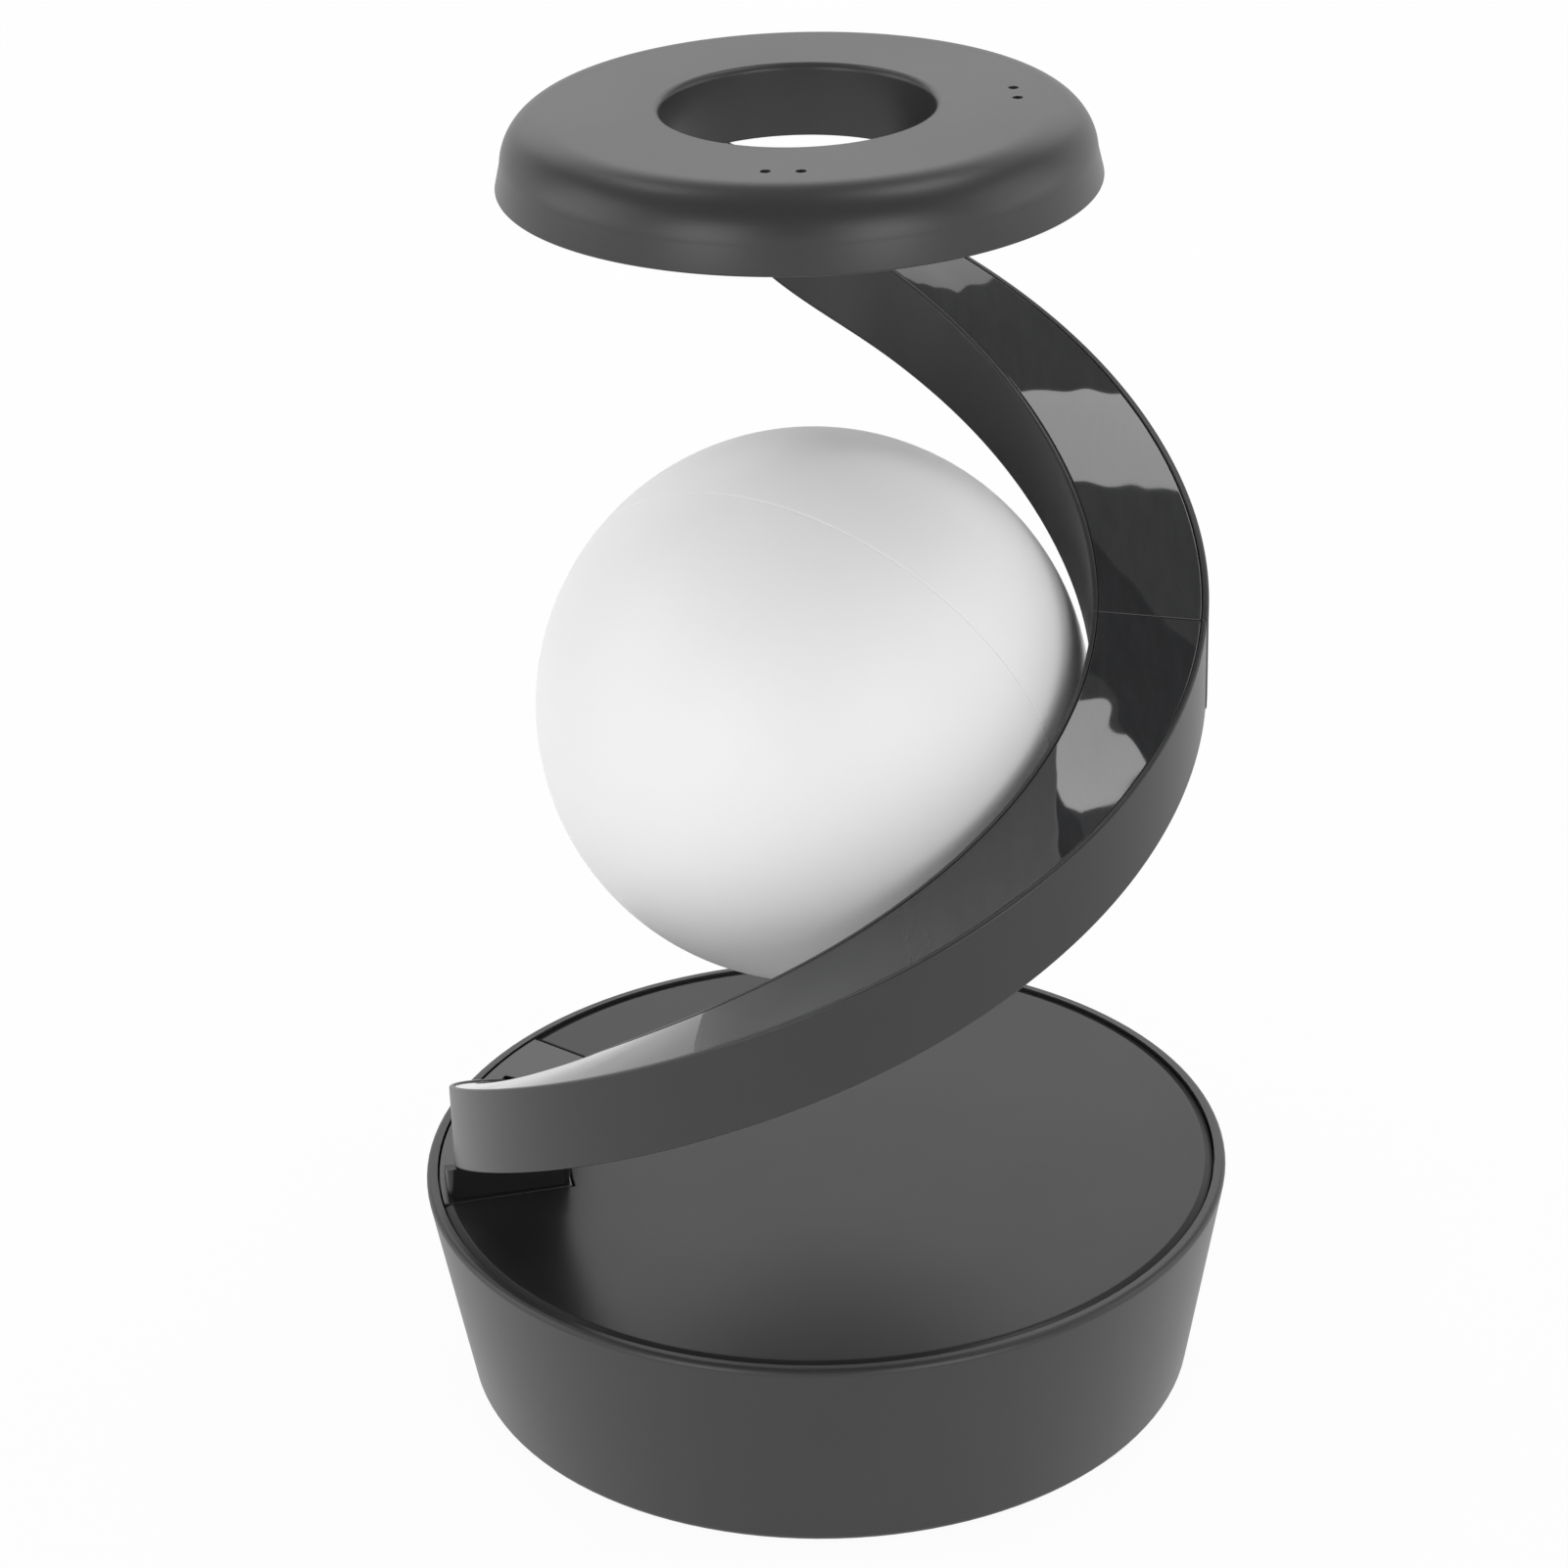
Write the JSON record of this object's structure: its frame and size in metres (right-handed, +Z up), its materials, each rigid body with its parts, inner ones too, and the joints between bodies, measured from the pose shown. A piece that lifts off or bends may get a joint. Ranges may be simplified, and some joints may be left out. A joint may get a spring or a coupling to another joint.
{
  "type": "spiral bedside lamp",
  "caption": "Bedside lamp with a round weighted base, a helical arm that climbs to a flat ring, and a frosted ball that turns on a hidden spindle inside the spiral.",
  "frame": {"origin": "middle of the base, on the table under the rubber feet", "axes": "+Z up from the table, -Y towards the lamp's front, +X to the right as seen from the front; the arm's foot is at the left"},
  "size_m": [0.16, 0.16, 0.2607],
  "materials": {
    "bowl_plastic": "fine matt moulding, dark grey",
    "plate_plastic": "matt, dark grey",
    "foot_plastic": "satin, near black",
    "arm_plastic": "fine matt moulding, dark grey",
    "strip_plastic": "polished, near black",
    "ring_plastic": "fine matt moulding, dark grey",
    "floor_plastic": "matt, near black",
    "ball_plastic": "frosted white, translucent",
    "white_plastic": "plain white moulding",
    "screw_steel": "plated",
    "spindle_steel": "turned and ground",
    "ballast_steel": "plain stamped plate",
    "socket_steel": "plated shell",
    "nut_brass": "turned",
    "foot_rubber": "soft, black",
    "board_laminate": "printed board, green varnish",
    "light_laminate": "printed board, white varnish",
    "chip_resin": "black resin",
    "led_resin": "clear resin over phosphor",
    "wire_sleeve": "soft sleeve over a loom"
  },
  "bodies": {
    "stand": {"base_bowl": "bowl_plastic", "base_floor": "floor_plastic", "floor_screws": "screw_steel", "rubber_feet": "foot_rubber", "ballast_plate": "ballast_steel", "ballast_screws": "screw_steel", "driver_board": "board_laminate", "board_parts": "chip_resin", "board_screws": "screw_steel", "power_socket": "socket_steel", "socket_screws": "screw_steel", "top_plate": "plate_plastic", "plate_screws": "screw_steel", "arm_foot": "foot_plastic", "foot_screws": "screw_steel", "lower_arm": "arm_plastic", "arm_screws": "screw_steel", "lower_strip": "strip_plastic", "upper_arm": "arm_plastic", "upper_strip": "strip_plastic", "arm_splice": "ballast_steel", "splice_screws": "screw_steel", "arm_wires": "wire_sleeve", "ball_spindle": "spindle_steel", "spindle_nut": "nut_brass", "thrust_washer": "white_plastic", "spindle_clip": "screw_steel", "light_holder": "white_plastic", "light_board": "light_laminate", "light_chips": "led_resin", "ring_cap": "ring_plastic", "ring_cover": "floor_plastic", "ring_screws": "screw_steel", "end_screws": "screw_steel", "touch_board": "board_laminate", "indicator_lights": "led_resin"},
    "ball": {"ball_hub": "white_plastic", "rear_ball_shell": "ball_plastic", "front_ball_shell": "ball_plastic"}
  },
  "joints": [
    {"name": "ball_spin", "type": "hinge", "parent": "stand", "child": "ball", "pos_m": [0, 0, 0.14273], "axis": [0.8457, -0.5336, 0.0061], "continuous": true}
  ]
}
